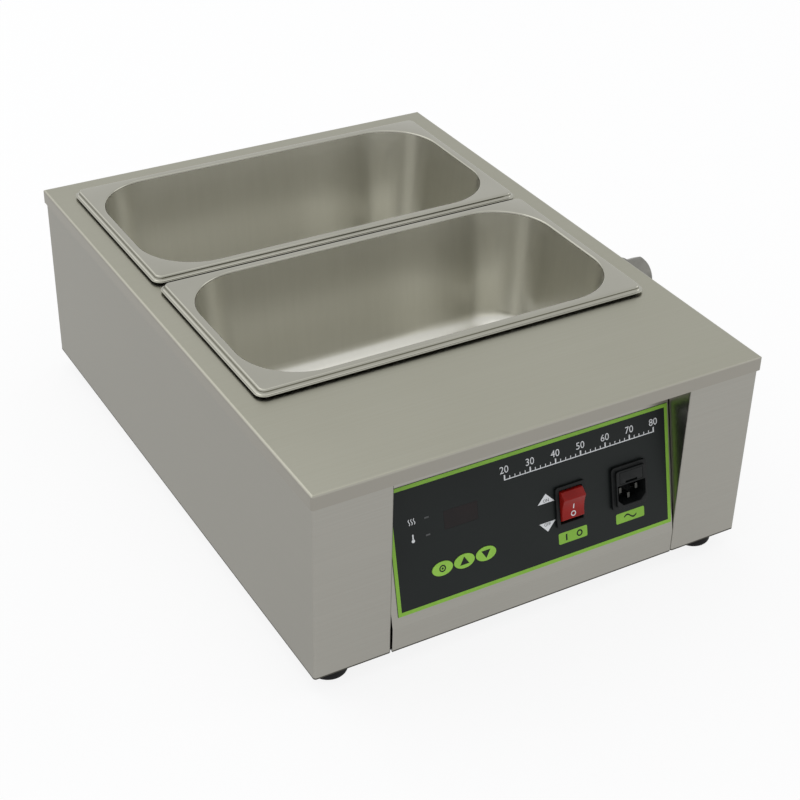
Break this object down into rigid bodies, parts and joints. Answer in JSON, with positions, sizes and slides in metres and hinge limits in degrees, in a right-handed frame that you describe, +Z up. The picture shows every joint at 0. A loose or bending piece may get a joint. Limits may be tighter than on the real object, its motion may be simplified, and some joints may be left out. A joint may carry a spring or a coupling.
{
  "type": "chocolate melting tank",
  "caption": "Countertop water-bath melter: steel casing with lift-out pans, heated tank, leaning control panel with switch and mains inlet, side drain valve.",
  "frame": {"origin": "on the table, under the middle of the casing", "axes": "+X to the right as seen from the control panel, along the drain; +Y from the control panel to the rear; +Z up"},
  "size_m": [0.484, 0.4942, 0.175],
  "materials": {
    "casing_steel": "fine satin grain, stainless",
    "base_steel": "mill finish sheet",
    "tank_steel": "satin stainless",
    "pan_steel": "drawn and polished stainless",
    "overlay_film": "printed black film with a green border",
    "key_film": "printed green film",
    "display_smoke": "smoked window",
    "light_plastic": "clear red light pipe",
    "black_plastic": "moulded black",
    "rocker_red": "translucent red",
    "terminal_brass": "plain brass",
    "pin_metal": "nickel plated",
    "board_laminate": "green laminate",
    "relay_plastic": "blue relay case",
    "terminal_plastic": "green terminal block",
    "core_iron": "laminated core, varnished",
    "element_sheath": "heat-darkened tube",
    "probe_steel": "drawn tube",
    "ceramic_ivory": "ivory moulding",
    "valve_steel": "cast and turned stainless",
    "seat_plastic": "white sealing plastic",
    "black_rubber": "moulded black rubber",
    "screw_steel": "stainless fasteners",
    "brown_insulation": "brown insulation",
    "black_insulation": "black insulation",
    "white_insulation": "white insulation",
    "earth_insulation": "green insulation with a yellow stripe"
  },
  "bodies": {
    "casing": {"top_cover": "casing_steel", "water_tank": "tank_steel", "left_side_panel": "casing_steel", "right_side_panel": "casing_steel", "rear_panel": "casing_steel", "base_plate": "base_steel", "control_plate": "casing_steel", "overlay": "overlay_film", "display_window": "display_smoke", "display_module": "black_plastic", "indicator_lights": "light_plastic", "control_board": "board_laminate", "board_standoffs": "terminal_brass", "board_screws": "screw_steel", "key_switches": "black_plastic", "power_relay": "relay_plastic", "transformer": "core_iron", "terminal_block": "terminal_plastic", "switch_housing": "black_plastic", "switch_terminals": "terminal_brass", "inlet_body": "black_plastic", "inlet_pins": "pin_metal", "heating_element": "element_sheath", "element_glands": "terminal_brass", "element_nuts": "terminal_brass", "temperature_probe": "probe_steel", "probe_gland": "terminal_brass", "limit_thermostat": "ceramic_ivory", "thermostat_studs": "screw_steel", "drain_pipe": "valve_steel", "drain_grommet": "black_rubber", "valve_body": "valve_steel", "valve_end": "valve_steel", "valve_seats": "seat_plastic", "packing_nut": "valve_steel", "front_left_foot": "black_rubber", "front_right_foot": "black_rubber", "rear_left_foot": "black_rubber", "rear_right_foot": "black_rubber", "foot_screws": "screw_steel", "foot_nuts": "screw_steel", "casing_screws": "screw_steel", "earth_stud": "terminal_brass", "mains_wires": "brown_insulation", "heater_wires": "black_insulation", "probe_wire": "white_insulation", "earth_wire": "earth_insulation"},
    "front_pan": {"front_pan": "pan_steel"},
    "rear_pan": {"rear_pan": "pan_steel"},
    "rocker": {"rocker": "rocker_red"},
    "set_key": {"set_key": "key_film"},
    "up_key": {"up_key": "key_film"},
    "down_key": {"down_key": "key_film"},
    "fuse_holder": {"fuse_drawer": "black_plastic", "fuse": "pin_metal"},
    "valve_lever": {"valve_ball": "valve_steel", "valve_stem": "valve_steel", "valve_handle": "valve_steel", "handle_nut": "screw_steel"}
  },
  "joints": [
    {"name": "front_pan_lift", "type": "slide", "parent": "casing", "child": "front_pan", "axis": [0, 0, 1], "range_m": [0, 0.14]},
    {"name": "rear_pan_lift", "type": "slide", "parent": "casing", "child": "rear_pan", "axis": [0, 0, 1], "range_m": [0, 0.14]},
    {"name": "rocker_tilt", "type": "hinge", "parent": "casing", "child": "rocker", "pos_m": [0.03, -0.23334, 0.08333], "axis": [-1, 0, 0], "range_deg": [0, 24]},
    {"name": "set_key_press", "type": "slide", "parent": "casing", "child": "set_key", "axis": [0, 0.9744, -0.225], "range_m": [0, 0.0004], "stiffness_N_per_m": 600},
    {"name": "up_key_press", "type": "slide", "parent": "casing", "child": "up_key", "axis": [0, 0.9744, -0.225], "range_m": [0, 0.0004], "stiffness_N_per_m": 600},
    {"name": "down_key_press", "type": "slide", "parent": "casing", "child": "down_key", "axis": [0, 0.9744, -0.225], "range_m": [0, 0.0004], "stiffness_N_per_m": 600},
    {"name": "fuse_pull", "type": "slide", "parent": "casing", "child": "fuse_holder", "axis": [0, -0.9744, 0.225], "range_m": [0, 0.022]},
    {"name": "valve_turn", "type": "hinge", "parent": "casing", "child": "valve_lever", "pos_m": [0.263, 0.046, 0.064], "axis": [0, -1, 0], "range_deg": [0, 90]}
  ]
}
